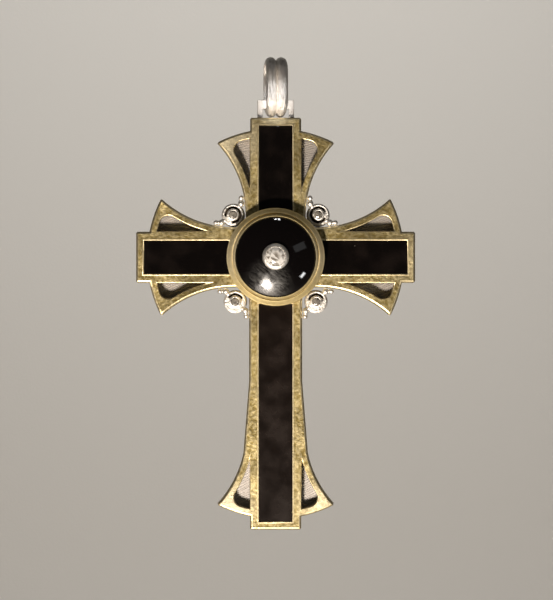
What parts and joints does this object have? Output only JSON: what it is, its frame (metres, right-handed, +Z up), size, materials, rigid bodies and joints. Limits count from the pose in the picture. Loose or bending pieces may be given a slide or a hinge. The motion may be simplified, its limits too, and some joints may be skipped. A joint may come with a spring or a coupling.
{
  "type": "pectoral cross",
  "caption": "Pectoral cross of pierced gold over a silver back plate, with onyx slabs and a domed onyx centre, set with diamonds and hung from a loose ridged bail.",
  "frame": {"origin": "inside the crown of the bail, where a chain or ribbon carries it", "axes": "+Z up along the cross as it hangs, the front faces -Y, +X to the right as seen from the front"},
  "size_m": [0.0678, 0.0147, 0.115],
  "materials": {
    "gold": "brushed matte gold with burnished edges",
    "matte_silver": "matte silver, hatched under the piercings",
    "bright_silver": "bright silver, lightly scratched",
    "onyx": "polished black onyx",
    "diamond": "brilliant cut"
  },
  "bodies": {
    "bail": {"bail": "bright_silver"},
    "cross": {"back_plate": "matte_silver", "gold_frame": "gold", "top_onyx": "onyx", "left_onyx": "onyx", "right_onyx": "onyx", "foot_onyx": "onyx", "bezel": "gold", "onyx_dome": "onyx", "centre_setting": "bright_silver", "centre_diamond": "diamond", "corner_setting_top_left": "bright_silver", "corner_setting_top_right": "bright_silver", "corner_setting_foot_left": "bright_silver", "corner_setting_foot_right": "bright_silver", "corner_diamond_top_left": "diamond", "corner_diamond_top_right": "diamond", "corner_diamond_foot_left": "diamond", "corner_diamond_foot_right": "diamond"}
  },
  "joints": [
    {"name": "cross_swing", "type": "hinge", "parent": "bail", "child": "cross", "pos_m": [0, 0, -0.0086], "axis": [0.9925, 0.1219, 0], "range_deg": [-70, 70]}
  ]
}
